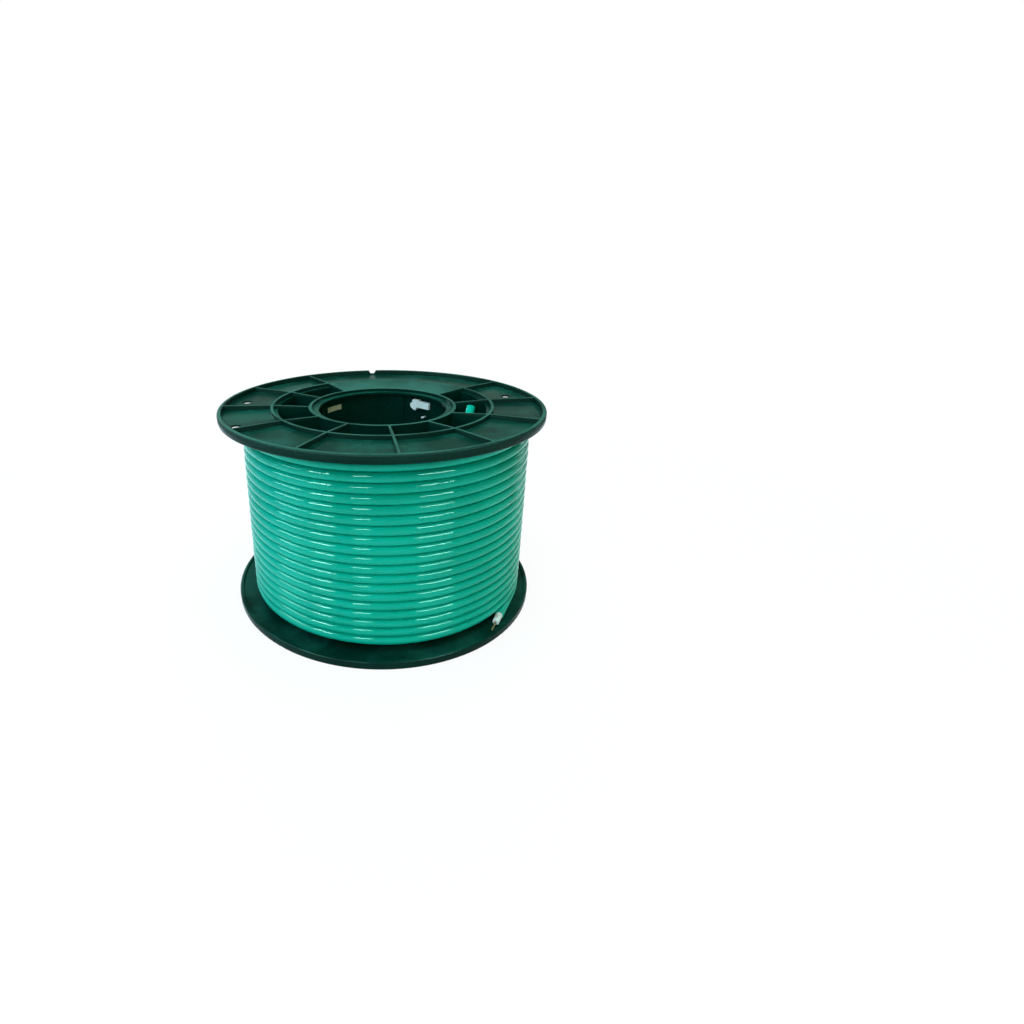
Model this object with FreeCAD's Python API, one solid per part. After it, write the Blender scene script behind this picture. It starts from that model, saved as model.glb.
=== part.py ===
import FreeCAD, Part

import math
import os

# Wire spool: a moulded plastic reel of two ribbed flanges, a barrel and a hub sleeve,
# locked by keys and latches, and wound with a round sheathed cable.
# Millimetres and degrees. The Z axis is the spindle axis and the origin is on it, in the plane
# that the spool stands on. Angles run anticlockwise from +X, seen from above.

# Overall sizes
flange_diameter = 200.0
overall_height = 126.5

# Flange moulding, with depths measured inwards from its outer plane
rim_height = 5.2
rim_width = 2.5
rim_round = 1.0
lip_width = 2.2
web_depth = 3.0
web_thickness = 1.1
mid_ring_radius = 69.0
mid_ring_wall = 1.7
mid_ring_depth = 0.7
skirt_ledge = 2.6
skirt_wall = 1.8
skirt_length = 6.0
hub_ring_radius = 46.0
hub_ring_wall = 1.8
hub_ring_depth = 2.2
collar_length = 22.0
bore_radius = 40.0
bore_lip_depth = 4.0
bore_lip_thickness = 1.5
rib_count = 12
rib_start_angle = 4.5
rib_top_width = 1.4
rib_root_width = 1.9
rib_rim_depth = 0.3
inner_rib_depth = 6.0
label_first_rib = 1
label_last_rib = 4
label_thickness = 1.3
notch_rib = 3
notch_width = 5.8
notch_floor_width = 2.8
notch_depth = 2.5
lead_hole_diameter = 6.2
lead_hole_places = ((85.5, 15.5), (88.0, 172.5), (92.0, 207.5))
bottom_flange_turn = 60.0

# Barrel and hub sleeve
barrel_wall = 2.2
sleeve_wall = 2.4
sleeve_rib_height = 0.8
sleeve_rib_width = 4.2
sleeve_rib_angle = 71.5
sleeve_rib_count = 4
joint_gap = 0.3

# Keys and latches, which fill windows of the sleeve and have their heads in pockets of the collars
key_angle = 50.0
key_bar_length = 9.5
key_bar_height = 4.8
key_bar_depth = 10.0
key_cross_width = 6.0
key_cross_height = 8.4
key_cross_depth = 10.8
key_peg_diameter = 1.6
key_peg_depth = 18.4
key_peg_angle = 46.0
latch_angle = 142.0
latch_length = 13.5
latch_height = 3.4
latch_depth = 11.3
head_overlap = 0.9
pocket_depth = 1.2
window_gap = 0.15

# Cable and winding
cable_diameter = 5.34
insulation_diameter = 4.24
strand_diameter = 0.37
strand_gap = 0.01
turn_gap = 0.46
flange_gap = 0.1
winding_radius_low = 91.2
winding_radius_high = 89.2
winding_offset = 2.35
winding_start_angle = -27.0
layer_drop = 5.0
layer_drop_angle = 60.0

# Cut end of the outer layer, measured along the straight stub from where it leaves the winding
stub_layer_end = 6.0
stub_sheath_end = 23.0
stub_insulation_end = 31.0
stub_strand_end = 39.0

# Inner end, which comes through a slot of the barrel and leans up into a flange compartment
lead_angle = -7.0
lead_top_depth = 4.2
lead_lean = 38.0
lead_rise = 3.0
lead_bend_radius = 27.0
slot_gap = 0.6

# Values worked out from the sizes above
flange_radius = flange_diameter / 2
web_face_depth = web_depth + web_thickness
barrel_radius = mid_ring_radius
barrel_bore = barrel_radius - barrel_wall
skirt_radius = barrel_bore - joint_gap
ledge_radius = mid_ring_radius - mid_ring_wall - skirt_ledge
collar_bore = hub_ring_radius - hub_ring_wall
sleeve_radius = collar_bore - joint_gap
sleeve_bore = sleeve_radius - sleeve_wall
lip_face_depth = bore_lip_depth + bore_lip_thickness
cable_radius = cable_diameter / 2
insulation_radius = insulation_diameter / 2
lead_radius = (hub_ring_radius + ledge_radius) / 2
lead_line_radius = lead_radius - (ledge_radius - hub_ring_radius - cable_diameter) / 5
strand_pitch = strand_diameter + strand_gap
conductor_radius = strand_pitch + strand_diameter / 2 + strand_gap
rib_step = 360.0 / rib_count
turn_low = web_face_depth + flange_gap + cable_radius
turn_high = overall_height - turn_low
drop_quarters = layer_drop_angle / 90
quarter_turns = int(4 * (turn_high - turn_low) / (cable_diameter + turn_gap) - drop_quarters)
turn_pitch = 4 * (turn_high - turn_low) / (quarter_turns + drop_quarters)
UP = FreeCAD.Vector(0, 0, 1)
CENTRE = FreeCAD.Vector(0, 0, 0)


def polar(radius, angle, z=0.0):
    """The point at a radius and an angle about the spindle axis."""
    a = math.radians(angle)
    return FreeCAD.Vector(radius * math.cos(a), radius * math.sin(a), z)


def corner_arc(before, corner, after):
    """The arc that touches two lines where they leave a corner, at equal distances from it."""
    middle = (before + after) / 2
    drop = (middle - corner).Length
    side = (before - corner).Length
    half_width = (before - middle).Length
    radius = side * half_width / drop
    centre = corner + (middle - corner) * (side / drop) ** 2
    nearest = centre + (corner - centre).normalize() * radius
    return Part.Arc(before, nearest, after).toShape()


def rounded_outline(corners):
    """A closed outline in the XZ plane through (radius, z, rounding) corners."""
    points = [FreeCAD.Vector(r, 0, z) for r, z, rounding in corners]
    edges = []
    ends = []
    for i, point in enumerate(points):
        rounding = corners[i][2]
        back = (points[i - 1] - point).normalize()
        ahead = (points[(i + 1) % len(points)] - point).normalize()
        half = back.getAngle(ahead) / 2
        cut = rounding / math.tan(half)
        ends.append((point + back * cut, point + ahead * cut))
        if rounding:
            edges.append(corner_arc(ends[i][0], point, ends[i][1]))
    for i in range(len(points)):
        start = ends[i][1]
        end = ends[(i + 1) % len(points)][0]
        edges.append(Part.LineSegment(start, end).toShape())
    return Part.Wire(Part.__sortEdges__(edges))


def turned(corners, start=0.0, sweep=360.0):
    """The solid that an outline makes when it is turned about the spindle axis."""
    face = Part.Face(rounded_outline(corners))
    face.rotate(CENTRE, UP, start)
    return face.revolve(CENTRE, UP, sweep)


def ring(inner, outer, low, high, start=0.0, sweep=360.0):
    """A plain ring, or a sector of one."""
    corners = [(inner, low, 0), (outer, low, 0), (outer, high, 0), (inner, high, 0)]
    return turned(corners, start, sweep)


def rib_section(radius, top, root):
    """A rib's tapered cross-section, standing across the X axis."""
    outline = [
        FreeCAD.Vector(radius, -rib_root_width / 2, root),
        FreeCAD.Vector(radius, rib_root_width / 2, root),
        FreeCAD.Vector(radius, rib_top_width / 2, top),
        FreeCAD.Vector(radius, -rib_top_width / 2, top),
    ]
    return Part.makePolygon(outline + outline[:1])


def rib(angle):
    """One rib, from the hub ring across the open compartments and over the web to the rim."""
    hub = hub_ring_radius - hub_ring_wall / 2
    mid = mid_ring_radius - mid_ring_wall / 2
    skirt = ledge_radius + skirt_wall / 2
    rim = flange_radius - rim_width / 2
    skirt_top = -mid_ring_depth + (mid - skirt) / (mid - hub) * (mid_ring_depth - hub_ring_depth)
    root = -inner_rib_depth
    web_root = -web_depth - web_thickness / 2
    spans = [
        (hub, -hub_ring_depth, skirt, skirt_top, root),
        (skirt, skirt_top, mid, -mid_ring_depth, web_root),
        (mid, -mid_ring_depth, rim, -rib_rim_depth, web_root),
    ]
    lengths = [Part.makeLoft([rib_section(a, top_a, low), rib_section(b, top_b, low)], True)
               for a, top_a, b, top_b, low in spans]
    whole = lengths[0].fuse(lengths[1:])
    whole.rotate(CENTRE, UP, angle)
    return whole


def rim_notch():
    """The tapered notch that a cable end is hooked into."""
    half = notch_width / 2
    half_floor = notch_floor_width / 2
    start = flange_radius - rim_width - 1
    outline = [
        FreeCAD.Vector(start, -half, 0),
        FreeCAD.Vector(start, -half_floor, -notch_depth),
        FreeCAD.Vector(start, half_floor, -notch_depth),
        FreeCAD.Vector(start, half, 0),
    ]
    face = Part.Face(Part.makePolygon(outline + outline[:1]))
    cut = face.extrude(FreeCAD.Vector(rim_width + 2, 0, 0))
    cut.rotate(CENTRE, UP, rib_start_angle + notch_rib * rib_step)
    return cut


def key_windows(gap):
    """The key's cross bar, bar and peg, as (start angle, sweep, depth of the top, height)."""
    cross = key_cross_width + 2 * gap
    bar = key_bar_length + 2 * gap
    to_angle = math.degrees(1 / sleeve_bore)
    half_length = (key_cross_width + key_bar_length) / 2
    right = key_angle - (half_length + gap) * to_angle
    left = key_angle + (half_length + gap - cross) * to_angle
    return [
        (left, cross * to_angle, key_cross_depth - key_cross_height / 2 - gap, key_cross_height + 2 * gap),
        (right, bar * to_angle, key_bar_depth - key_bar_height / 2 - gap, key_bar_height + 2 * gap),
    ]


def latch_windows(gap):
    """The latch's bar, as (start angle, sweep, depth of the top, height)."""
    to_angle = math.degrees(1 / sleeve_bore)
    length = latch_length + 2 * gap
    start = latch_angle - length / 2 * to_angle
    return [(start, length * to_angle, latch_depth - latch_height / 2 - gap, latch_height + 2 * gap)]


def peg(gap, inner, outer):
    """The round peg under a key's bar, between two radii."""
    base = polar(inner, key_peg_angle, -key_peg_depth)
    return Part.makeCylinder(key_peg_diameter / 2 + gap, outer - inner, base, polar(1, key_peg_angle))


def blocks(windows, inner, outer):
    """Sectors of a ring, one for each window."""
    return [ring(inner, outer, -top - height, -top, start, sweep) for start, sweep, top, height in windows]


def fused(solids):
    """One solid from several that touch or overlap."""
    whole = solids[0].fuse(solids[1:]) if len(solids) > 1 else solids[0]
    return whole.removeSplitter()


def sleeve_windows():
    """What is cut from one end of the sleeve so that two keys and two latches show in its bore."""
    inner = sleeve_bore - sleeve_rib_height - 1
    outer = collar_bore
    cuts = blocks(key_windows(window_gap), inner, outer)
    cuts += blocks(latch_windows(window_gap), inner, outer)
    cuts.append(peg(window_gap, inner, outer))
    return cuts + [opposite(cut) for cut in cuts]


def head(windows, low_depth, room=0.0):
    """The head of a key or latch, which lies between sleeve and collar, or the pocket for it."""
    inner = sleeve_radius + window_gap - room
    outer = collar_bore + pocket_depth - window_gap + room
    overlap = head_overlap + room
    to_angle = math.degrees(1 / inner)
    start = min(w[0] for w in windows) - overlap * to_angle
    end = max(w[0] + w[1] for w in windows) + overlap * to_angle
    top = min(w[2] for w in windows) - overlap
    return ring(inner, outer, -low_depth - overlap, -top, start, end - start)


def key_head(room=0.0):
    """A key's head, which also covers its peg."""
    return head(key_windows(0), key_peg_depth + key_peg_diameter / 2, room)


def latch_head(room=0.0):
    """A latch's head."""
    return head(latch_windows(0), latch_depth + latch_height / 2, room)


def key():
    """A T-shaped key with its peg, in a flange whose outer plane is at z = 0."""
    solids = blocks(key_windows(0), sleeve_bore, collar_bore)
    solids.append(peg(0, sleeve_bore, collar_bore))
    solids.append(key_head())
    return fused(solids)


def latch():
    """A plain latch bar, in a flange whose outer plane is at z = 0."""
    solids = blocks(latch_windows(0), sleeve_bore, collar_bore)
    solids.append(latch_head())
    return fused(solids)


def flange():
    """The flange moulding with its outer plane at z = 0 and its barrel side below."""
    rim_bore = flange_radius - rim_width
    outer_part = turned([
        (rim_bore, 0, rim_round / 2),
        (flange_radius, 0, rim_round),
        (flange_radius, -rim_height, rim_round),
        (flange_radius - lip_width, -rim_height, 0),
        (rim_bore, -web_face_depth, 0),
        (skirt_radius, -web_face_depth, 0),
        (skirt_radius, -web_face_depth - skirt_length, 0),
        (ledge_radius, -web_face_depth - skirt_length, 0),
        (ledge_radius, -web_depth, 0),
        (mid_ring_radius - mid_ring_wall, -web_depth, 0),
        (mid_ring_radius - mid_ring_wall, -mid_ring_depth, 0),
        (mid_ring_radius, -mid_ring_depth, 0),
        (mid_ring_radius, -web_depth, 0),
        (rim_bore, -web_depth, 0),
    ])
    hub_part = turned([
        (collar_bore, -hub_ring_depth, 0),
        (hub_ring_radius, -hub_ring_depth, 0),
        (hub_ring_radius, -hub_ring_depth - collar_length, 0),
        (collar_bore, -hub_ring_depth - collar_length, 0),
        (collar_bore, -lip_face_depth, 0),
        (bore_radius, -lip_face_depth, 0),
        (bore_radius, -bore_lip_depth, 0),
        (collar_bore, -bore_lip_depth, 0),
    ])
    hub = hub_ring_radius - hub_ring_wall / 2
    mid = mid_ring_radius - mid_ring_wall / 2
    label = turned([
        (hub, -hub_ring_depth - label_thickness, 0),
        (mid, -mid_ring_depth - label_thickness, 0),
        (mid, -mid_ring_depth, 0),
        (hub, -hub_ring_depth, 0),
    ], rib_start_angle + label_first_rib * rib_step, (label_last_rib - label_first_rib) * rib_step)
    bare = range(label_first_rib + 1, label_last_rib)
    ribs = [rib(rib_start_angle + i * rib_step) for i in range(rib_count) if i not in bare]
    whole = outer_part.fuse([hub_part, label] + ribs)
    hole_radius = lead_hole_diameter / 2
    holes = [Part.makeCylinder(hole_radius, 2 * rim_height, polar(radius, angle, -rim_height - 1))
             for radius, angle in lead_hole_places]
    pockets = [key_head(window_gap), latch_head(window_gap)]
    pockets += [opposite(pocket) for pocket in pockets]
    return whole.cut(holes + [rim_notch()] + pockets).removeSplitter()


def on_top(shape):
    """Lifts a piece modelled at z = 0 to the top flange."""
    placed = shape.copy()
    placed.translate(FreeCAD.Vector(0, 0, overall_height))
    return placed


def at_bottom(shape):
    """Turns a piece modelled at z = 0 over and round, to the bottom flange."""
    placed = shape.copy()
    placed.rotate(CENTRE, FreeCAD.Vector(0, 1, 0), 180)
    placed.rotate(CENTRE, UP, bottom_flange_turn)
    return placed


def opposite(shape):
    """A copy on the other side of the spindle axis."""
    placed = shape.copy()
    placed.rotate(CENTRE, UP, 180)
    return placed


def lead_path():
    """The inner end's route: a level line through the barrel, one bend, and a leaning rise to the end."""
    end = polar(lead_radius, lead_angle, overall_height - lead_top_depth)
    past_foot = math.degrees(math.acos(lead_line_radius / lead_radius))
    before_foot = math.degrees(math.acos(lead_line_radius / (barrel_radius + cable_diameter)))
    start = polar(barrel_radius + cable_diameter, lead_angle - past_foot - before_foot)
    along = (FreeCAD.Vector(end.x, end.y, 0) - start).normalize()
    lean = math.radians(lead_lean)
    up_way = along * math.sin(lean) + UP * math.cos(lean)
    bend_end = end - up_way * lead_rise
    reach = lead_bend_radius * math.tan((math.pi / 2 - lean) / 2)
    corner = bend_end - up_way * reach
    bend_start = corner - along * reach
    return start + UP * corner.z, bend_start, corner, bend_end, end


def lead_tube(radius, offset=CENTRE):
    """A round tube along the inner end's route, shifted sideways and up by an offset."""
    start, bend_start, corner, bend_end, end = lead_path()
    along = (bend_start - start).normalize()
    up_way = (end - bend_end).normalize()
    side = along.cross(UP)
    shift = side * offset.x + UP * offset.y
    turned_shift = side * offset.x + side.cross(up_way) * offset.y
    centre = bend_start + UP * lead_bend_radius
    outward = (corner - centre).normalize()
    middle = centre + side * offset.x + outward * (lead_bend_radius - offset.y)
    bend = Part.Arc(bend_start + shift, middle, bend_end + turned_shift).toShape()
    run = Part.LineSegment(start + shift, bend_start + shift).toShape()
    rise = Part.LineSegment(bend_end + turned_shift, end + turned_shift).toShape()
    path = Part.Wire([run, bend, rise])
    section = Part.Wire(Part.makeCircle(radius, start + shift, along))
    return path.makePipeShell([section], True, False)


def strand_places():
    """Where the seven strands lie in the conductor's cross-section."""
    ring_places = [polar(strand_pitch, 60.0 * i) for i in range(6)]
    return [CENTRE] + ring_places


def inner_end():
    """Sheath, insulation and strands of the inner end, trimmed where they meet the winding."""
    height = FreeCAD.Vector(0, 0, -1)
    reach = barrel_radius + joint_gap - flange_gap
    room = Part.makeCylinder(reach, overall_height + 2, height)
    outside = lead_tube(cable_radius)
    filling = lead_tube(insulation_radius)
    sheath = outside.cut(filling).common(room)
    insulation = filling.cut(lead_tube(conductor_radius)).common(room)
    strands = [lead_tube(strand_diameter / 2, place).common(room) for place in strand_places()]
    return sheath, insulation, Part.makeCompound([solid for s in strands for solid in s.Solids])


def barrel():
    """The drum between the flanges, with the slot that the cable's inner end goes through."""
    tube = ring(barrel_bore, barrel_radius, web_face_depth, overall_height - web_face_depth)
    start, bend_start, corner, bend_end, end = lead_path()
    along = bend_start - start
    slot = Part.makeCylinder(cable_radius + slot_gap, along.Length, start, along)
    return tube.cut(slot)


def hub_sleeve():
    """The tube that joins both collars, with its windows and low ribs along the bore."""
    low = lip_face_depth
    high = overall_height - lip_face_depth
    tube = ring(sleeve_bore, sleeve_radius, low, high)
    sweep = math.degrees(sleeve_rib_width / sleeve_bore)
    inner = sleeve_bore - sleeve_rib_height
    starts = [sleeve_rib_angle - sweep / 2 + 360.0 * i / sleeve_rib_count for i in range(sleeve_rib_count)]
    ribs = [ring(inner, sleeve_bore + sleeve_wall / 2, low, high, start, sweep) for start in starts]
    cuts = sleeve_windows()
    return tube.fuse(ribs).cut([on_top(c) for c in cuts] + [at_bottom(c) for c in cuts]).removeSplitter()


def winding_point(quarter):
    """The cable's centre and direction after a number of quarter turns from the lower end."""
    slope = (winding_radius_high - winding_radius_low) / quarter_turns
    radius = winding_radius_low - cable_radius + slope * quarter
    angle = winding_start_angle + 90.0 * quarter
    outward = polar(1, angle)
    around = polar(1, angle + 90)
    point = FreeCAD.Vector(winding_offset, 0, turn_low + quarter * turn_pitch / 4) + outward * radius
    if quarter == 0:
        return point, around
    direction = around * (radius * math.pi / 2) + outward * slope + UP * (turn_pitch / 4)
    return point, direction.normalize()


def biarc(first, first_way, last, last_way):
    """Two arcs from one point and direction to another, touching where they meet."""
    span = last - first
    both = first_way + last_way
    a = 2 * (1 - first_way.dot(last_way))
    b = 2 * span.dot(both)
    c = -span.dot(span)
    reach = -c / b if a < 1e-9 else (-b + math.sqrt(b * b - 4 * a * c)) / (2 * a)
    corner_one = first + first_way * reach
    corner_two = last - last_way * reach
    join = (corner_one + corner_two) / 2
    return [corner_arc(first, corner_one, join), corner_arc(join, corner_two, last)]


def layer_route():
    """The outer layer's centre line: stub, turns, and the drop into the layer below."""
    low_point, low_way = winding_point(0)
    edges = [Part.LineSegment(low_point - low_way * stub_layer_end, low_point).toShape()]
    for quarter in range(quarter_turns):
        here = winding_point(quarter)
        there = winding_point(quarter + 1)
        edges += biarc(here[0], here[1], there[0], there[1])
    high_point, high_way = winding_point(quarter_turns)
    drop_point, drop_way = drop_end()
    edges += biarc(high_point, high_way, drop_point, drop_way)
    edges.append(Part.LineSegment(drop_point, drop_point + drop_way * cable_diameter).toShape())
    return edges


def drop_end():
    """Where the last turn has sunk into the layer below, and its direction there."""
    angle = winding_start_angle + 90.0 * quarter_turns + layer_drop_angle
    radius = winding_radius_high - cable_radius - layer_drop
    return FreeCAD.Vector(winding_offset, 0, turn_high) + polar(radius, angle), polar(1, angle + 90)


def outer_layer(edges):
    """The outer layer of turns, as one unbroken round tube."""
    start = edges[0].Vertexes[0].Point
    way = edges[0].Vertexes[1].Point - start
    section = Part.Wire(Part.makeCircle(cable_radius, start, way))
    return Part.Wire(edges).makePipeShell([section], True, False)


def from_stretch(point, start, end):
    """How far a point is from a straight stretch between two others."""
    along = end - start
    share = max(0, min(1, (point - start).dot(along) / along.dot(along)))
    return (point - start - along * share).Length


def least_gap(edges):
    """The least clear distance of the route to itself, between places over half a turn apart."""
    points = []
    for edge in edges:
        points += edge.discretize(13)[:-1]
    half_turn = 4 * 12
    closest = min(
        from_stretch(points[i], points[j], points[j + 1])
        for i in range(len(points))
        for j in range(i + half_turn, min(len(points) - 1, i + 3 * half_turn))
    )
    return closest - cable_diameter


def winding_core():
    """The inner layers as one plain ring under the outer layer, with a rebate for the drop."""
    low = web_face_depth + joint_gap
    high = overall_height - low
    shift = FreeCAD.Vector(winding_offset, 0, 0)
    under = cable_diameter + joint_gap
    foot = shift + UP * low
    outside = Part.makeCone(winding_radius_low - under, winding_radius_high - under, high - low, foot)
    bore = Part.makeCylinder(barrel_radius + joint_gap, overall_height)
    point, way = drop_end()
    end_angle = winding_start_angle + 90.0 * quarter_turns + layer_drop_angle
    rebate_low = turn_high - cable_radius - joint_gap
    rebate_inner = winding_radius_high - cable_diameter - layer_drop - joint_gap
    sweep = layer_drop_angle * 1.6
    rebate = ring(rebate_inner, winding_radius_low, rebate_low, overall_height, end_angle - sweep, sweep)
    rebate.translate(shift + way * cable_diameter)
    return outside.cut([bore, rebate])


def cable_end():
    """The stepped outer end: sheath, then bare insulation, then bare strands."""
    point, way = winding_point(0)
    out = way * -1
    side = out.cross(UP)

    def rod(radius, start, end, place=CENTRE):
        base = point + out * start + side * place.x + UP * place.y
        return Part.makeCylinder(radius, end - start, base, out)

    sheath = rod(cable_radius, stub_layer_end, stub_sheath_end)
    sheath = sheath.cut(rod(insulation_radius, stub_layer_end, stub_sheath_end))
    insulation = rod(insulation_radius, stub_layer_end, stub_insulation_end)
    insulation = insulation.cut(rod(conductor_radius, stub_layer_end, stub_insulation_end))
    strands = [rod(strand_diameter / 2, stub_layer_end, stub_strand_end, place) for place in strand_places()]
    return sheath, insulation, Part.makeCompound(strands)


def export(name, shape):
    """Writes one piece and prints its volume."""
    shape.exportStep("parts/" + name + ".step")
    print(name, "solids", len(shape.Solids), "valid", shape.isValid(), "volume", round(shape.Volume, 1))


def main():
    os.makedirs("parts", exist_ok=True)
    moulding = flange()
    export("top_flange", on_top(moulding))
    export("bottom_flange", at_bottom(moulding))
    export("barrel", barrel())
    export("hub_sleeve", hub_sleeve())
    for name, piece, low_side in (("key", key(), "front"), ("latch", latch(), "back")):
        other_side = "back" if low_side == "front" else "front"
        export("top_" + name + "_back", on_top(piece))
        export("top_" + name + "_front", on_top(opposite(piece)))
        export("bottom_" + name + "_" + low_side, at_bottom(piece))
        export("bottom_" + name + "_" + other_side, at_bottom(opposite(piece)))
    export("winding_core", winding_core())
    route = layer_route()
    layer = outer_layer(route)
    export("cable_outer_layer", layer)
    length = sum(edge.Length for edge in route)
    section = math.pi * cable_radius ** 2
    print("outer layer turns", quarter_turns / 4, "pitch", round(turn_pitch, 3), "length", round(length, 1))
    print("outer layer volume over section times length", round(layer.Volume / section / length, 5))
    print("least gap between turns", round(least_gap(route), 3))
    bends = [edge.Curve.Radius for edge in route if edge.Curve.TypeId == "Part::GeomCircle"]
    print("tightest radius", round(min(bends), 1))
    for end, pieces in (("outer_end", cable_end()), ("inner_end", inner_end())):
        for name, shape in zip(("sheath", "insulation", "strands"), pieces):
            export(end + "_" + name, shape)
    print("inner end bend radius", lead_bend_radius)


main()
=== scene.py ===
import math

import bmesh
import bpy
from mathutils import Matrix, Vector


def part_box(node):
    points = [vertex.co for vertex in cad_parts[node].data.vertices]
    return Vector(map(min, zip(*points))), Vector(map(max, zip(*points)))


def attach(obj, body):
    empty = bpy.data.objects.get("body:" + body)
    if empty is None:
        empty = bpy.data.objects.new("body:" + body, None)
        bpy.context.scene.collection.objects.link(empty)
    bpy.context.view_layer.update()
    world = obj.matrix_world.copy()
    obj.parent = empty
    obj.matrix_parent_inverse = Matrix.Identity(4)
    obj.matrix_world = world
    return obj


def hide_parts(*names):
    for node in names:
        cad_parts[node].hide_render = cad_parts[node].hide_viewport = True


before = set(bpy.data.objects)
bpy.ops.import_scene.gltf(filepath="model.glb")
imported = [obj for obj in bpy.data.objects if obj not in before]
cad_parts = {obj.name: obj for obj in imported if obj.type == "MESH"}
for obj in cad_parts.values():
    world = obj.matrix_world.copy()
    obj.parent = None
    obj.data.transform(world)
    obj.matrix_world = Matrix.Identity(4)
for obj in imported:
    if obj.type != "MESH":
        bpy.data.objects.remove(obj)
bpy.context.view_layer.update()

# Sizes of the part, in metres. Angles run anticlockwise from +X, seen from above.
MM = 0.001
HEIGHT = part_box("top_flange")[1].z
WEB_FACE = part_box("barrel")[0].z
WINDING_RADIUS_LOW = 91.2 * MM
WINDING_RADIUS_HIGH = 89.2 * MM
WINDING_OFFSET = 2.35 * MM
WINDING_START = math.radians(-27)
WINDING_TURNS = 19.25
WINDING_SAG = 0.7 * MM
TURN_DEPTH = 5.6 * MM
WEB_GAP_SHARE = 0.015
LAYER_DROP = 5 * MM
LAYER_DROP_ANGLE = math.radians(60)
LAYER_LAP_ANGLE = 0.1
LAYER_SPARE_TURNS = 0.05
TOP_EDGE_DEPTH = 2.9 * MM
TOP_EDGE_BLEND = 0.4 * MM

# Cut ends of the cable. A stub's lengths run from where it leaves the winding
STUB_SHEATH = 23 * MM
STUB_INSULATION = 31 * MM
STUB_STRANDS = 39 * MM
STUB_BURIED = 2 * MM
CABLE_RADIUS = 2.67 * MM
INSULATION_DIAMETER = 4.24 * MM
STRAND_DIAMETER = 0.37 * MM
STRAND_LAY = 14 * MM
MIDDLE_WIRE_SHARE = 1.004

# Inner end of the cable: a level run through the barrel's slot, then a curve up to the cut face
LEAD_START = Vector((25.73, -69.75, 109.6)) * MM
LEAD_END = Vector((55.14, -4.82, 123.5)) * MM
LEAD_LEAN = math.radians(42)
LEAD_CURVE = 20 * MM
LEAD_HIDDEN = 6 * MM

# Upper back key as the photograph shows it. Its outlines are in millimetres to the right and below the top
KEY_ANGLE = math.radians(50)
KEY_FACE_RADIUS = 39.95 * MM
KEY_BACK_RADIUS = 43.5 * MM
KEY_STRIP = 1.0 * MM
KEY_OUTLINE = (
    (-6.2, 7.7), (-1.2, 7.7), (-1.2, 8.8), (7.7, 8.8), (7.7, 12.9), (-2.8, 12.9),
    (-3.4, 14.9), (-4.8, 14.9), (-7.4, 13.1), (-7.9, 11.6), (-7.5, 10.2), (-6.2, 9.8),
)
KEY_TONGUE = ((1.2, 18.9), (3.9, 17.8), (4.1, 18.8), (1.4, 19.9))

# Small hole of the lower flange that the photograph doesn't show
LOW_HOLE_PLACE = Vector((-60.98, -59.93, 0)) * MM
LOW_HOLE_RADIUS = 3.1 * MM
LOW_HOLE_LOW = 3.0 * MM
LOW_HOLE_HIGH = 4.1 * MM

# Lower part of the upper flange's inner ribs, which the frame's ribs leave out
RIB_COUNT = 12
RIB_START = math.radians(4.5)
RIB_INNER = 45.2 * MM
RIB_OUTER = 65.2 * MM
RIB_THICKNESS = 1.86 * MM
RIB_CAD_DEPTH = 6 * MM
RIB_ROOT_DEPTH = 10.1 * MM

# Camera, as the photograph gives it for an image of 1024 by 1024 pixels
IMAGE_SIDE = 1024
FOCAL_PIXELS = 546.5
PRINCIPAL_X = 393.85
PRINCIPAL_Y = 495.97
CAMERA_PLACE = Vector((0, -337.44, 211.6)) * MM
CAMERA_YAW = math.radians(1.193)
CAMERA_PITCH = math.radians(24.012)
CAMERA_ROLL = math.radians(0.124)
LAMP_DISTANCE = 1.2


class Value:
    """A node's output, with arithmetic that adds Math nodes."""

    def __init__(self, tree, socket):
        self.tree = tree
        self.socket = socket

    def out(self, name):
        return Value(self.tree, self.socket.node.outputs[name])

    def math(self, operation, *others):
        inputs = dict(enumerate((self, *others)))
        return self.tree.node("ShaderNodeMath", {"operation": operation}, inputs)

    def __add__(self, other):
        return self.math("ADD", other)

    def __sub__(self, other):
        return self.math("SUBTRACT", other)

    def __mul__(self, other):
        return self.math("MULTIPLY", other)

    def __truediv__(self, other):
        return self.math("DIVIDE", other)

    def __rsub__(self, other):
        return self.tree.node("ShaderNodeMath", {"operation": "SUBTRACT"}, {0: other, 1: self})

    __radd__ = __add__
    __rmul__ = __mul__

    def smooth(self, low, high, start=0.0, end=1.0):
        inputs = {"Value": self, "From Min": low, "From Max": high, "To Min": start, "To Max": end}
        return self.tree.node("ShaderNodeMapRange", {"interpolation_type": "SMOOTHSTEP"}, inputs)


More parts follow.
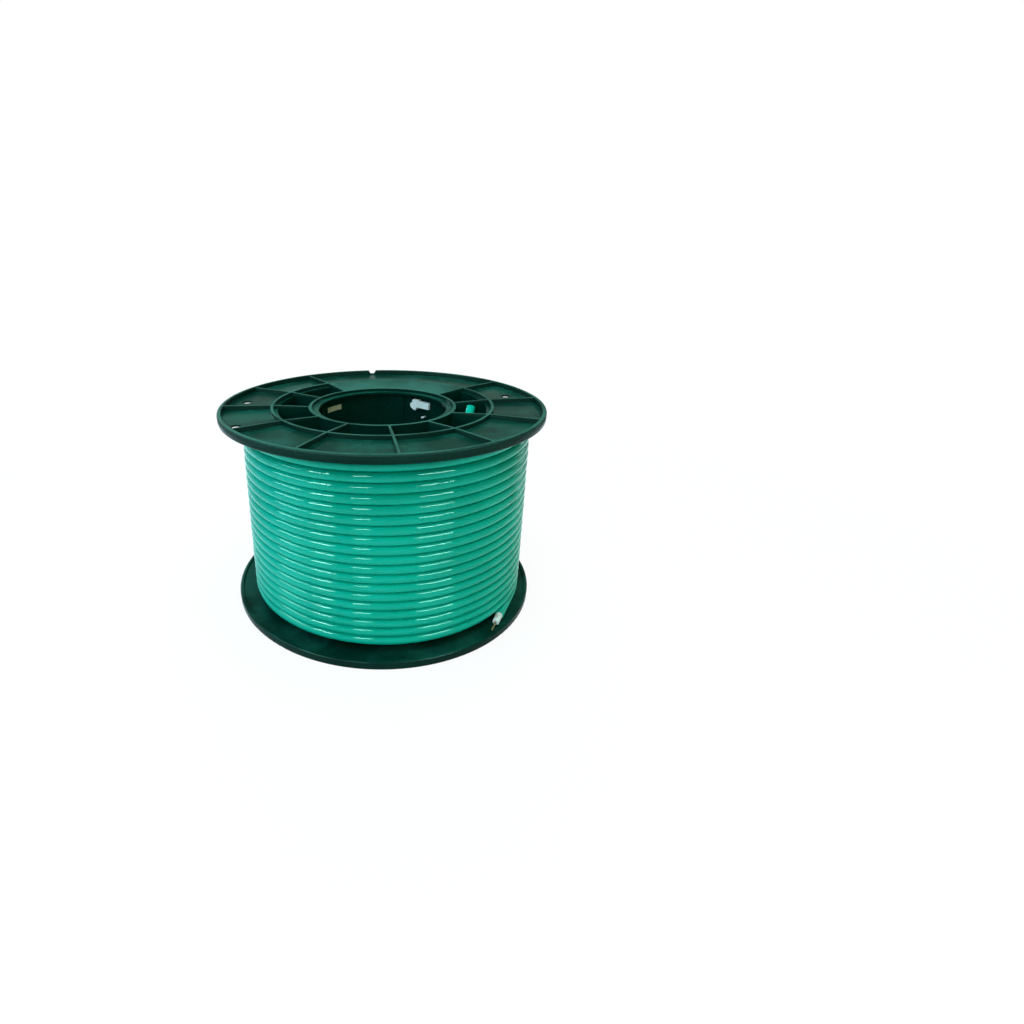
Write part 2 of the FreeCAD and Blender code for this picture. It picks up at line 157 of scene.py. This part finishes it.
class Tree:
    """A node tree of a material, the world or a geometry modifier."""

    def __init__(self, tree):
        self.tree = tree

    def node(self, kind, settings=None, inputs=None, output=0):
        made = self.tree.nodes.new(kind)
        for name, value in (settings or {}).items():
            setattr(made, name, value)
        for name, value in (inputs or {}).items():
            for source in value if isinstance(value, list) else [value]:
                if isinstance(source, Value):
                    self.tree.links.new(source.socket, made.inputs[name])
                else:
                    made.inputs[name].default_value = source
        return Value(self, made.outputs[output]) if made.outputs else made

    def mix(self, share, first, second):
        return self.node("ShaderNodeMix", {"data_type": "RGBA"}, {0: share, 6: first, 7: second}, 2)

    def noise(self, place, scale, detail=2.0, roughness=0.5, distortion=0.0):
        inputs = {"Vector": place, "Scale": scale, "Detail": detail, "Roughness": roughness}
        inputs["Distortion"] = distortion
        return self.node("ShaderNodeTexNoise", None, inputs)

    def vector(self, x, y, z):
        return self.node("ShaderNodeCombineXYZ", None, {0: x, 1: y, 2: z})

    def scaled(self, place, factors):
        return self.node("ShaderNodeVectorMath", {"operation": "MULTIPLY"}, {0: place, 1: factors})

    def line(self, points, end):
        """A straight curve from the origin, with this many points."""
        straight = self.node("GeometryNodeCurvePrimitiveLine", None, {"End": end})
        return self.node("GeometryNodeResampleCurve", None, {"Curve": straight, "Count": points})

    def along(self):
        """How far along its curve a point lies, from 0 to 1."""
        return self.node("GeometryNodeSplineParameter").out("Factor")

    def circle(self, sides, radius):
        return self.node("GeometryNodeCurvePrimitiveCircle", None, {"Resolution": sides, "Radius": radius})

    def moved(self, line, spots):
        return self.node("GeometryNodeSetPosition", None, {"Geometry": line, "Position": spots})

    def tube(self, route, section, scale=1.0):
        """A closed tube of this section along a route."""
        inputs = {"Curve": route, "Profile Curve": section, "Scale": scale, "Fill Caps": True}
        return self.node("GeometryNodeCurveToMesh", None, inputs)

    def placed(self, geometry, place, turn):
        inputs = {"Geometry": geometry, "Translation": place, "Rotation": turn}
        return self.node("GeometryNodeTransform", None, inputs)

    def around_axis(self, item, count, first=0.0):
        """Copies of an item at the origin, evenly turned round Z."""
        seats = self.node("GeometryNodeMeshLine", None, {"Count": count, "Offset": (0.0, 0.0, 0.0)})
        step = self.node("GeometryNodeInputIndex") / count * (2 * math.pi) + first
        inputs = {"Points": seats, "Instance": item, "Rotation": self.vector(0.0, 0.0, step)}
        return self.node("GeometryNodeInstanceOnPoints", None, inputs)


def srgb(red, green, blue):
    """A colour given as the photograph shows it, from 0 to 255, as the linear colour that nodes take."""
    shares = [c / 255 for c in (red, green, blue)]
    return (*[c / 12.92 if c <= 0.04045 else ((c + 0.055) / 1.055) ** 2.4 for c in shares], 1.0)


def material(name, paint, **constants):
    """A material whose paint function gives the shader's varying inputs, and constants the others."""
    made = bpy.data.materials.new(name)
    made.use_nodes = True
    made.node_tree.nodes.clear()
    tree = Tree(made.node_tree)
    place = tree.node("ShaderNodeTexCoord").out("Object")
    inputs = {key.replace("_", " "): value for key, value in constants.items()}
    inputs.update(paint(tree, place))
    shader = tree.node("ShaderNodeBsdfPrincipled", None, inputs)
    tree.node("ShaderNodeOutputMaterial", None, {"Surface": shader})
    return made


def bump(tree, height, strength, distance):
    """The normal of a surface with small relief."""
    return tree.node("ShaderNodeBump", None, {"Height": height, "Strength": strength, "Distance": distance})


def moulded_green(tree, place):
    """Dark green moulding: faint flow marks, duller handled patches, dust with painted top light on level
    faces, and a painted highlight on the tops.
    """
    flow = tree.noise(tree.scaled(place, (22, 22, 60)), 1.0, 4.0, 0.6, 0.6)
    handled_and_highlight_patches = tree.noise(place, 38.0, 5.0, 0.62)
    grain = tree.noise(place, 900.0, 3.0, 0.55)
    scuffs = tree.noise(tree.scaled(place, (60, 900, 300)), 1.0, 2.0, 0.5, 0.4)
    colour = tree.mix(flow.smooth(0.3, 0.7), srgb(0, 33, 25), srgb(2, 42, 32))
    colour = tree.mix(scuffs.smooth(0.66, 0.8, 0.0, 0.3), colour, srgb(24, 72, 62))
    facing = tree.node("ShaderNodeNewGeometry").out("Normal")
    level = tree.node("ShaderNodeSeparateXYZ", None, {0: facing}).out("Z").smooth(0.6, 1.0)
    # Level faces are paler in patches: partly dust, partly painted light falling from above.
    dust_and_top_light = tree.noise(place, 26.0, 4.0, 0.6).smooth(0.4, 0.62, 0.02, 0.46)
    colour = tree.mix(level * dust_and_top_light, colour, srgb(28, 86, 72))
    high = tree.node("ShaderNodeSeparateXYZ", None, {0: place}).out("Z")
    tops = high.smooth(HEIGHT - TOP_EDGE_DEPTH, HEIGHT - TOP_EDGE_DEPTH + TOP_EDGE_BLEND)
    # Painted highlight: the tops of ribs, rings and rim near the top face are paler in patches, standing in
    # for light glinting on their edges.
    colour = tree.mix(tops * level * handled_and_highlight_patches.smooth(0.3, 0.6, 0.12, 0.5), colour, srgb(58, 104, 90))
    rough = handled_and_highlight_patches.smooth(0.35, 0.75, 0.16, 0.28) + grain * 0.04 + tops * 0.3
    relief = flow * 0.5 + grain * 0.08 + handled_and_highlight_patches * 0.3
    return {"Base Color": colour, "Roughness": rough, "Normal": bump(tree, relief, 0.25, 0.0004)}


def sheath_green(tree, place):
    """Extruded green sheath: even colour with slow drift, a waxy sheen and soft ripples."""
    slow = tree.noise(place, 24.0, 2.0, 0.5)
    cloud = tree.noise(tree.scaled(place, (60, 60, 400)), 1.0, 3.0, 0.6)
    fine = tree.noise(place, 1400.0, 2.0, 0.5)
    colour = tree.mix(slow.smooth(0.3, 0.7), srgb(0, 152, 126), srgb(4, 162, 136))
    colour = tree.mix(cloud.smooth(0.55, 0.85, 0.0, 0.25), colour, srgb(16, 170, 148))
    rough = cloud.smooth(0.3, 0.8, 0.01, 0.035) + fine * 0.01
    relief = cloud * 0.6 + fine * 0.04
    return {"Base Color": colour, "Roughness": rough, "Normal": bump(tree, relief, 0.04, 0.0003)}


def clear_white(tree, place):
    """Milky insulation with a slight mottle."""
    mottle = tree.noise(place, 420.0, 4.0, 0.6)
    colour = tree.mix(mottle.smooth(0.3, 0.7), srgb(204, 206, 202), srgb(230, 228, 224))
    rough = mottle.smooth(0.2, 0.8, 0.30, 0.46)
    return {"Base Color": colour, "Roughness": rough, "Normal": bump(tree, mottle, 0.25, 0.0002)}


def drawn_wire(tree, place):
    """Dull drawn wire with fine draw marks and a brown bloom."""
    bloom = tree.noise(place, 700.0, 4.0, 0.6)
    marks = tree.noise(tree.scaled(place, (5000, 5000, 300)), 1.0, 2.0, 0.5)
    colour = tree.mix(bloom.smooth(0.3, 0.75), srgb(176, 158, 120), srgb(112, 92, 56))
    rough = bloom.smooth(0.2, 0.8, 0.28, 0.5)
    return {"Base Color": colour, "Roughness": rough, "Normal": bump(tree, marks, 0.3, 0.00005)}


def pale_key(tree, place):
    """Pale grey moulding of the keys."""
    mottle = tree.noise(place, 260.0, 4.0, 0.6)
    colour = tree.mix(mottle.smooth(0.3, 0.75), srgb(228, 214, 206), srgb(242, 230, 222))
    rough = mottle.smooth(0.2, 0.8, 0.32, 0.5)
    return {"Base Color": colour, "Roughness": rough, "Normal": bump(tree, mottle, 0.2, 0.0003)}


def beige_latch(tree, place):
    """Beige moulding of the latches."""
    mottle = tree.noise(place, 260.0, 4.0, 0.6)
    colour = tree.mix(mottle.smooth(0.3, 0.75), srgb(168, 156, 120), srgb(190, 176, 140))
    rough = mottle.smooth(0.2, 0.8, 0.34, 0.52)
    return {"Base Color": colour, "Roughness": rough, "Normal": bump(tree, mottle, 0.2, 0.0003)}


MOULDING = material("moulded_green_plastic", moulded_green, Specular_IOR_Level=0.06)
SHEATH = material("green_cable_sheath", sheath_green, Specular_IOR_Level=0.12)
INSULATION = material("milky_insulation", clear_white, Subsurface_Weight=0.35, Subsurface_Scale=0.002)
WIRE = material("dull_drawn_wire", drawn_wire, Metallic=1.0)
KEY = material("pale_key_plastic", pale_key)
LATCH = material("beige_latch_plastic", beige_latch)


def geometry_tree(name, inputs):
    """A geometry tree with named inputs, and the values that those inputs give inside it."""
    made = bpy.data.node_groups.new(name, "GeometryNodeTree")
    kinds = {float: "NodeSocketFloat", int: "NodeSocketInt", Vector: "NodeSocketVector",
             bpy.types.Material: "NodeSocketMaterial"}
    for label, kind in inputs.items():
        made.interface.new_socket(label, in_out="INPUT", socket_type=kinds[kind])
    made.interface.new_socket("Geometry", in_out="OUTPUT", socket_type="NodeSocketGeometry")
    tree = Tree(made)
    start = tree.node("NodeGroupInput")
    return made, tree, {label: start.out(label) for label in inputs}


def end_tree(tree, geometry, finish, smooth=True):
    """Ends a geometry tree with plain geometry in one material."""
    plain = tree.node("GeometryNodeRealizeInstances", None, {"Geometry": geometry})
    painted = tree.node("GeometryNodeSetMaterial", None, {"Geometry": plain, "Material": finish})
    shaded = tree.node("GeometryNodeSetShadeSmooth", None, {0: painted, "Shade Smooth": smooth})
    tree.node("NodeGroupOutput", None, {0: shaded})


def grown(name, group, values):
    """The plain mesh that a geometry tree makes from these input values."""
    seed = bpy.data.objects.new(name + "_seed", bpy.data.meshes.new(name + "_seed"))
    bpy.context.scene.collection.objects.link(seed)
    modifier = seed.modifiers.new("grow", "NODES")
    modifier.node_group = group
    for item in group.interface.items_tree:
        if item.in_out == "INPUT":
            modifier[item.identifier] = values[item.name]
    shown = seed.evaluated_get(bpy.context.evaluated_depsgraph_get())
    mesh = bpy.data.meshes.new_from_object(shown)
    mesh.name = name
    bpy.data.objects.remove(seed)
    piece = bpy.data.objects.new(name, mesh)
    bpy.context.scene.collection.objects.link(piece)
    return piece


def winding_tree():
    """A layer of turns: a straight stub, then a helix, then a drop towards the axis."""
    group, tree, size = geometry_tree("layer_of_turns", {
        "Turns": float, "Start Angle": float, "Stub": float, "Start Radius": float, "End Radius": float,
        "Start Height": float, "Pitch": float, "Drop": float, "Drop Angle": float, "Offset": float,
        "Thickness": float, "Depth": float, "Wander": float, "Sag": float, "Points": int, "Sides": int,
        "Material": bpy.types.Material,
    })
    full = 2 * math.pi
    sag_peak = 4 / 27
    line = tree.line(size["Points"], (1.0, 0.0, 0.0))
    share = tree.along()
    length = size["Stub"] + (size["Turns"] * full + size["Drop Angle"]) * size["Start Radius"]
    run = share * length - size["Stub"]
    turned = run.math("MAXIMUM", 0.0) / size["Start Radius"]
    straight = run.math("MINIMUM", 0.0)
    angle = turned + size["Start Angle"]
    part = turned / (size["Turns"] * full)
    sink = (turned - size["Turns"] * full).math("MAXIMUM", 0.0) / size["Drop Angle"]
    settled = turned.smooth(0.0, 1.2)
    sway_spot = tree.vector(angle.math("COSINE") * 2.0, angle.math("SINE") * 2.0, turned * 0.35)
    sway = (tree.noise(sway_spot, 1.3) - 0.5) * size["Wander"] * settled
    lift_spot = tree.vector(angle.math("COSINE") * 1.5, angle.math("SINE") * 1.5, turned * 0.05 + 7.0)
    lift = (tree.noise(lift_spot, 1.0, 1.0) - 0.5) * size["Wander"] * 0.8 * settled
    radius = size["Start Radius"] + (size["End Radius"] - size["Start Radius"]) * part
    radius = radius - size["Drop"] * sink.smooth(0.0, 1.0) + sway
    x = size["Offset"] + radius * angle.math("COSINE") - straight * size["Start Angle"].math("SINE")
    y = radius * angle.math("SINE") + straight * size["Start Angle"].math("COSINE")
    sag = size["Sag"] * part * part * (1.0 - part) / sag_peak
    z = size["Start Height"] + size["Pitch"] * turned / full + lift - sag
    route = tree.moved(line, tree.vector(x, y, z))
    route = tree.node("GeometryNodeSetCurveNormal", {"mode": "Z_UP"}, {0: route})
    circle = tree.circle(size["Sides"], 0.5)
    stretch = tree.vector(size["Depth"], size["Thickness"], 1.0)
    section = tree.node("GeometryNodeTransform", None, {"Geometry": circle, "Scale": stretch})
    end_tree(tree, tree.tube(route, section), size["Material"])
    return group


def rod_tree():
    """A round rod along Z whose end is slightly eased, placed and turned."""
    group, tree, size = geometry_tree("eased_rod", {
        "Length": float, "Radius": float, "Ease": float, "Sides": int, "Place": Vector, "Turn": Vector,
        "Material": bpy.types.Material,
    })
    share = tree.along()
    route = tree.moved(tree.line(60, (0.0, 0.0, 1.0)), tree.vector(0.0, 0.0, share * size["Length"]))
    left = (1.0 - share) * size["Length"]
    eased = size["Ease"] * (1.0 - (left / size["Ease"]).math("MINIMUM", 1.0)).math("POWER", 2.0)
    rod = tree.tube(route, tree.circle(size["Sides"], 1.0), size["Radius"] - eased)
    end_tree(tree, tree.placed(rod, size["Place"], size["Turn"]), size["Material"])
    return group


def strand_tree():
    """A conductor of one straight wire with wires laid round it in a helix."""
    group, tree, size = geometry_tree("laid_strands", {
        "Length": float, "Wire Radius": float, "Lay": float, "Outer Wires": int, "Sides": int,
        "Spread": float, "Place": Vector, "Turn": Vector, "Material": bpy.types.Material,
    })
    line = tree.line(90, (0.0, 0.0, 1.0))
    share = tree.along()
    section = tree.circle(size["Sides"], size["Wire Radius"])
    twist = share * size["Length"] / size["Lay"] * (2 * math.pi)
    reach = size["Wire Radius"] * 2.0 * (1.0 + size["Spread"] * share.smooth(0.7, 1.0))
    helix = tree.vector(twist.math("COSINE") * reach, twist.math("SINE") * reach, share * size["Length"])
    around = tree.around_axis(tree.tube(tree.moved(line, helix), section), size["Outer Wires"])
    middle_length = size["Length"] * MIDDLE_WIRE_SHARE
    middle = tree.tube(tree.moved(line, tree.vector(0.0, 0.0, share * middle_length)), section)
    bunch = tree.node("GeometryNodeJoinGeometry", None, {0: [around, middle]})
    end_tree(tree, tree.placed(bunch, size["Place"], size["Turn"]), size["Material"])
    return group


def wind_cable():
    """The outer layer with its stub, and the layer under it, in which the cable goes on after its drop.

    It gives the height of the first turn, at which the stub leaves the winding.
    """
    group = winding_tree()
    all_turns = WINDING_TURNS + LAYER_DROP_ANGLE / (2 * math.pi)
    pitch = (HEIGHT - 2 * WEB_FACE) / (all_turns + 1 + 2 * WEB_GAP_SHARE)
    low = WEB_FACE + pitch / 2 + WEB_GAP_SHARE * pitch
    shared = {"Thickness": pitch, "Depth": TURN_DEPTH, "Offset": WINDING_OFFSET, "Sag": WINDING_SAG,
              "Material": SHEATH}
    outer_middle = TURN_DEPTH / 2
    outer = grown("cable_outer_turns", group, shared | {
        "Turns": WINDING_TURNS, "Start Angle": WINDING_START, "Stub": STUB_SHEATH,
        "Start Radius": WINDING_RADIUS_LOW - outer_middle, "End Radius": WINDING_RADIUS_HIGH - outer_middle,
        "Start Height": low, "Pitch": pitch, "Drop": LAYER_DROP, "Drop Angle": LAYER_DROP_ANGLE,
        "Wander": 0.5 * MM, "Points": int(all_turns * 190), "Sides": 22})
    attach(outer, "root")
    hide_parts("cable_outer_layer", "outer_end_sheath")
    inner_start = WINDING_START + all_turns * 2 * math.pi - LAYER_LAP_ANGLE
    inner_middle = outer_middle + LAYER_DROP
    inner = grown("cable_inner_turns", group, shared | {
        "Turns": all_turns - LAYER_SPARE_TURNS, "Start Angle": inner_start, "Stub": 0.0,
        "Start Radius": WINDING_RADIUS_HIGH - inner_middle, "End Radius": WINDING_RADIUS_LOW - inner_middle,
        "Start Height": low + all_turns * pitch, "Pitch": -pitch, "Drop": 0.0,
        "Drop Angle": LAYER_LAP_ANGLE, "Wander": 0.2 * MM, "Points": int(all_turns * 72), "Sides": 12})
    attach(inner, "root")
    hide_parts("winding_core")
    return low


def strip_cable_end(height):
    """The bare insulation and the bare strands at the end of the stub."""
    radius = WINDING_RADIUS_LOW - TURN_DEPTH / 2
    across = Vector((math.cos(WINDING_START), math.sin(WINDING_START), 0))
    out = Vector((across.y, -across.x, 0))
    foot = across * radius + Vector((WINDING_OFFSET, 0, height))
    turn = Vector(out.to_track_quat("Z", "Y").to_euler())
    insulation = grown("outer_end_bare_insulation", rod_tree(), {
        "Length": STUB_INSULATION - STUB_SHEATH + STUB_BURIED, "Radius": INSULATION_DIAMETER / 2,
        "Ease": 0.35 * MM, "Sides": 40, "Place": foot + out * (STUB_SHEATH - STUB_BURIED), "Turn": turn,
        "Material": INSULATION})
    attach(insulation, "root")
    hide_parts("outer_end_insulation")
    strands = grown("outer_end_bare_strands", strand_tree(), {
        "Length": STUB_STRANDS - STUB_INSULATION + STUB_BURIED, "Wire Radius": STRAND_DIAMETER / 2,
        "Lay": STRAND_LAY, "Outer Wires": 6, "Sides": 14, "Spread": 0.18,
        "Place": foot + out * (STUB_INSULATION - STUB_BURIED), "Turn": turn, "Material": WIRE})
    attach(strands, "root")
    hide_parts("outer_end_strands")


def lead_tree():
    """A round tube: a level run along X, then a curve that ends in a leaning rise."""
    group, tree, size = geometry_tree("leaning_lead", {
        "Run": float, "Curve": float, "Reach": float, "Rise": float, "Radius": float, "Sides": int,
        "Place": Vector, "Turn": Vector, "Material": bpy.types.Material,
    })
    gone = tree.along() * (size["Run"] + size["Curve"] * 2.0)
    run = gone.math("MINIMUM", size["Run"])
    bent = (gone - run) / (size["Curve"] * 2.0)
    ahead = run + bent * (1.0 - bent) * 2.0 * size["Curve"] + bent * bent * (size["Curve"] + size["Reach"])
    route = tree.moved(tree.line(120, (1.0, 0.0, 0.0)), tree.vector(ahead, 0.0, bent * bent * size["Rise"]))
    tube = tree.tube(route, tree.circle(size["Sides"], size["Radius"]))
    end_tree(tree, tree.placed(tube, size["Place"], size["Turn"]), size["Material"])
    return group


def lean_inner_end():
    """The cable's inner end in a compartment of the upper flange, leaning as the photograph shows it."""
    across = LEAD_END - LEAD_START
    rise = across.z
    across.z = 0
    reach = rise * math.tan(LEAD_LEAN)
    turn = Vector((0, 0, math.atan2(across.y, across.x)))
    run = across.length - reach - LEAD_CURVE - LEAD_HIDDEN
    start = LEAD_START + across.normalized() * LEAD_HIDDEN
    lead = grown("inner_end_lead", lead_tree(), {
        "Run": run, "Curve": LEAD_CURVE, "Reach": reach, "Rise": rise, "Radius": CABLE_RADIUS, "Sides": 36,
        "Place": start, "Turn": turn, "Material": SHEATH})
    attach(lead, "root")
    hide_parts("inner_end_sheath", "inner_end_insulation", "inner_end_strands")


def rib_tree():
    """Plates that stand round the spindle axis, evenly spaced."""
    group, tree, size = geometry_tree("standing_plates", {
        "Count": int, "First Angle": float, "Inner Radius": float, "Outer Radius": float, "Thickness": float,
        "Low": float, "High": float, "Material": bpy.types.Material,
    })
    inner, outer, low, high = (size[label] for label in ("Inner Radius", "Outer Radius", "Low", "High"))
    extent = tree.vector(outer - inner, size["Thickness"], high - low)
    plate = tree.node("GeometryNodeMeshCube", None, {"Size": extent})
    middle = tree.vector((outer + inner) * 0.5, 0.0, (high + low) * 0.5)
    plate = tree.placed(plate, middle, (0.0, 0.0, 0.0))
    around = tree.around_axis(plate, size["Count"], size["First Angle"])
    end_tree(tree, around, size["Material"], smooth=False)
    return group


def deepen_ribs():
    """The lower part of the upper flange's inner ribs, down to the foot of the skirt."""
    roots = grown("inner_rib_roots", rib_tree(), {
        "Count": RIB_COUNT, "First Angle": RIB_START, "Inner Radius": RIB_INNER, "Outer Radius": RIB_OUTER,
        "Thickness": RIB_THICKNESS, "Low": HEIGHT - RIB_ROOT_DEPTH, "High": HEIGHT - RIB_CAD_DEPTH + 0.1 * MM,
        "Material": MOULDING})
    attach(roots, "root")


def add_block(shell, outline):
    """A block with this outline, cut in strips and wrapped round the spindle axis."""
    corners = [shell.verts.new((across * MM, 0, HEIGHT - depth * MM)) for across, depth in outline]
    block = [shell.faces.new(corners)]
    low = min(point[0] for point in outline) * MM
    high = max(point[0] for point in outline) * MM
    for strip in range(1, int((high - low) / KEY_STRIP) + 1):
        geom = set(block)
        for face in block:
            geom.update(face.edges)
            geom.update(face.verts)
        cut = bmesh.ops.bisect_plane(shell, geom=list(geom), dist=KEY_STRIP / 1000,
                                     plane_co=(low + strip * KEY_STRIP, 0, 0), plane_no=(1, 0, 0))
        block = [item for item in cut["geom"] if isinstance(item, bmesh.types.BMFace)]
    front = {vert for face in block for vert in face.verts}
    pushed = bmesh.ops.extrude_face_region(shell, geom=block, use_keep_orig=True)
    back = {item for item in pushed["geom"] if isinstance(item, bmesh.types.BMVert)}
    for verts, radius in ((front, KEY_FACE_RADIUS), (back, KEY_BACK_RADIUS)):
        for vert in verts:
            turn = KEY_ANGLE - vert.co.x / KEY_FACE_RADIUS
            vert.co.x = radius * math.cos(turn)
            vert.co.y = radius * math.sin(turn)


def shape_key():
    """The upper back key with the hooked outline that shows in the bore, and its tongue."""
    mesh = bpy.data.meshes.new("hooked_key")
    shell = bmesh.new()
    for outline in (KEY_OUTLINE, KEY_TONGUE):
        add_block(shell, outline)
    bmesh.ops.recalc_face_normals(shell, faces=shell.faces)
    shell.to_mesh(mesh)
    shell.free()
    key = bpy.data.objects.new("hooked_key", mesh)
    bpy.context.scene.collection.objects.link(key)
    mesh.materials.append(KEY)
    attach(key, "root")
    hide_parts("top_key_back")


def close_low_hole():
    """A disc that fills the lower flange's hole which would show in front of the winding."""
    mesh = bpy.data.meshes.new("low_hole_filling")
    shell = bmesh.new()
    depth = LOW_HOLE_HIGH - LOW_HOLE_LOW
    place = Matrix.Translation(LOW_HOLE_PLACE + Vector((0, 0, (LOW_HOLE_LOW + LOW_HOLE_HIGH) / 2)))
    bmesh.ops.create_cone(shell, cap_ends=True, segments=64, radius1=LOW_HOLE_RADIUS, radius2=LOW_HOLE_RADIUS,
                          depth=depth, matrix=place)
    shell.to_mesh(mesh)
    shell.free()
    filling = bpy.data.objects.new("low_hole_filling", mesh)
    bpy.context.scene.collection.objects.link(filling)
    mesh.materials.append(MOULDING)
    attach(filling, "root")


def paint_frame():
    """Gives the frame's own pieces their finishes."""
    finishes = {"flange": MOULDING, "barrel": MOULDING, "hub_sleeve": MOULDING, "key": KEY, "latch": LATCH,
                "sheath": SHEATH, "insulation": INSULATION, "strands": WIRE}
    for name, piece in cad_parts.items():
        for word, finish in finishes.items():
            if word in name:
                piece.data.materials.clear()
                piece.data.materials.append(finish)


def lamp(name, azimuth, elevation, width, height, brightness, colour, mirrored):
    """A flat lamp that faces the part. Azimuth 0 is the camera's side, and 90 is the right.

    A mirrored lamp is only seen in glossy surfaces, and any other only lights them.
    """
    made = bpy.data.lights.new(name, "AREA")
    made.shape = "RECTANGLE"
    made.size = width
    made.size_y = height
    made.energy = brightness * math.pi * width * height
    made.color = colour
    holder = bpy.data.objects.new(name, made)
    turn = math.radians(azimuth)
    rise = math.radians(elevation)
    way = Vector((math.sin(turn) * math.cos(rise), -math.cos(turn) * math.cos(rise), math.sin(rise)))
    middle = Vector((0, 0, HEIGHT / 2))
    holder.location = middle + way * LAMP_DISTANCE
    holder.rotation_mode = "QUATERNION"
    holder.rotation_quaternion = way.to_track_quat("Z", "Y")
    holder.visible_glossy = mirrored
    holder.visible_diffuse = not mirrored
    bpy.context.scene.collection.objects.link(holder)


def light_scene():
    """Broad lamps for even light, and tall panes whose reflections run down the turns in columns."""
    cool = (0.15, 0.72, 1.15)
    plain = (0.75, 1.0, 1.08)
    warm = (0.9, 1.0, 0.12)
    mint = (0.5, 1.0, 0.9)
    lamp("left_lamp", -80, 34, 0.9, 0.7, 3.5, cool, False)
    lamp("front_lamp", -20, 34, 0.9, 0.7, 2.7, plain, False)
    lamp("right_lamp", 66, 34, 0.9, 0.7, 0.3, warm, False)
    lamp("back_lamp", 180, 40, 1.2, 0.7, 2.2, plain, False)
    lamp("top_lamp", 20, 84, 0.9, 0.9, 5.4, plain, False)
    lamp("left_edge_pane", -146, 20, 0.24, 0.36, 9.0, mint, True)
    lamp("left_pane", -85, 33, 0.56, 0.3, 28.0, mint, True)
    lamp("left_front_pane", -54, 33, 0.34, 0.3, 78.0, mint, True)
    lamp("front_pane", -21, 34, 0.24, 0.3, 52.0, mint, True)
    lamp("right_pane", 38, 34, 0.5, 0.3, 60.0, mint, True)
    lamp("right_edge_pane", 128, 20, 0.2, 0.36, 4.0, mint, True)


def make_world():
    """Even soft light, with plain white behind the part."""
    world = bpy.data.worlds.new("soft_room")
    bpy.context.scene.world = world
    world.use_nodes = True
    world.node_tree.nodes.clear()
    tree = Tree(world.node_tree)
    ray = tree.node("ShaderNodeLightPath")
    way = tree.node("ShaderNodeTexCoord").out("Generated")
    height = tree.node("ShaderNodeSeparateXYZ", None, {0: way}).out("Z")
    mirrored = (ray.out("Is Glossy Ray") + ray.out("Is Transmission Ray")).math("MINIMUM", 1.0)
    seen = (ray.out("Is Camera Ray") + mirrored * height.smooth(0.08, 0.26, 1.0, 0.0)).math("MINIMUM", 1.0)
    strength = seen.smooth(0.0, 1.0, 0.32, 1.0)
    colour = tree.mix(seen, (0.6, 1.0, 0.82, 1.0), (1.0, 1.0, 1.0, 1.0))
    shader = tree.node("ShaderNodeBackground", None, {"Color": colour, "Strength": strength})
    tree.node("ShaderNodeOutputWorld", None, {"Surface": shader})


def make_floor():
    """A plain pale floor that keeps the part's shadow and fades to white far from it."""
    side = 3.0
    mesh = bpy.data.meshes.new("pale_floor")
    corners = [(-side, -side, 0), (side, -side, 0), (side, side, 0), (-side, side, 0)]
    mesh.from_pydata(corners, [], [(0, 1, 2, 3)])
    floor = bpy.data.objects.new("pale_floor", mesh)
    bpy.context.scene.collection.objects.link(floor)
    made = bpy.data.materials.new("pale_floor_paint")
    made.use_nodes = True
    made.node_tree.nodes.clear()
    tree = Tree(made.node_tree)
    place = tree.node("ShaderNodeTexCoord").out("Object")
    away = tree.node("ShaderNodeVectorMath", {"operation": "LENGTH"}, {0: place}, "Value")
    paint = tree.node("ShaderNodeBsdfDiffuse", None, {"Color": (0.96, 0.82, 0.82, 1.0)})
    glow = tree.node("ShaderNodeEmission", None, {"Color": (1.0, 1.0, 1.0, 1.0), "Strength": 1.0})
    ray = tree.node("ShaderNodeLightPath")
    seen = ray.out("Is Camera Ray") * away.smooth(0.12, 0.6, 0.9, 1.0)
    shader = tree.node("ShaderNodeMixShader", None, {0: seen, 1: paint, 2: glow})
    tree.node("ShaderNodeOutputMaterial", None, {"Surface": shader})
    mesh.materials.append(made)


def make_camera():
    """The camera of the photograph."""
    made = bpy.data.cameras.new("photo_camera")
    made.sensor_width = 36
    made.lens = FOCAL_PIXELS * made.sensor_width / IMAGE_SIDE
    made.shift_x = (IMAGE_SIDE / 2 - PRINCIPAL_X) / IMAGE_SIDE
    made.shift_y = (PRINCIPAL_Y - IMAGE_SIDE / 2) / IMAGE_SIDE
    made.clip_start = 0.01
    made.clip_end = 20
    camera = bpy.data.objects.new("photo_camera", made)
    bpy.context.scene.collection.objects.link(camera)
    flat = math.cos(CAMERA_PITCH)
    ahead = Vector((math.sin(CAMERA_YAW) * flat, math.cos(CAMERA_YAW) * flat, -math.sin(CAMERA_PITCH)))
    level = Vector((math.cos(CAMERA_YAW), -math.sin(CAMERA_YAW), 0))
    down = ahead.cross(level)
    right = level * math.cos(CAMERA_ROLL) + down * math.sin(CAMERA_ROLL)
    up = level * math.sin(CAMERA_ROLL) - down * math.cos(CAMERA_ROLL)
    turn = Matrix((right, up, -ahead)).transposed().to_4x4()
    camera.matrix_world = Matrix.Translation(CAMERA_PLACE) @ turn
    bpy.context.scene.camera = camera


make_camera()
paint_frame()
stub_height = wind_cable()
strip_cable_end(stub_height)
lean_inner_end()
deepen_ribs()
shape_key()
close_low_hole()
light_scene()
make_world()
make_floor()
bpy.context.scene.view_settings.view_transform = "Standard"
